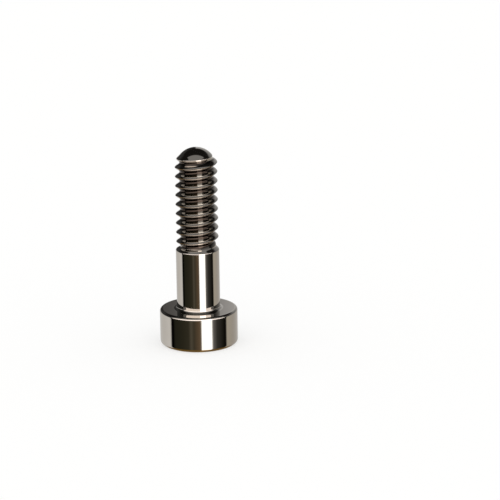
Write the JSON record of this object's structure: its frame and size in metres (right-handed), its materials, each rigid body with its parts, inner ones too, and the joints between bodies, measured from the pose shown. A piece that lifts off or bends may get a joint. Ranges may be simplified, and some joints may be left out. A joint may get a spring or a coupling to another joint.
{
  "type": "shoulder bolt",
  "caption": "Steel shoulder bolt with a round head, a hexagon socket in its end face, a plain shoulder and a coarse right-hand thread with a domed point.",
  "frame": {"origin": "centre of the head's flat end face, on which the bolt stands", "axes": "+Z along the bolt's axis, from the head towards the thread; +X points at a corner of the hexagon socket"},
  "size_m": [0.0086, 0.0086, 0.0224],
  "materials": {
    "polished_steel": "polished"
  },
  "bodies": {
    "root": {"shoulder_bolt": "polished_steel"}
  },
  "joints": []
}
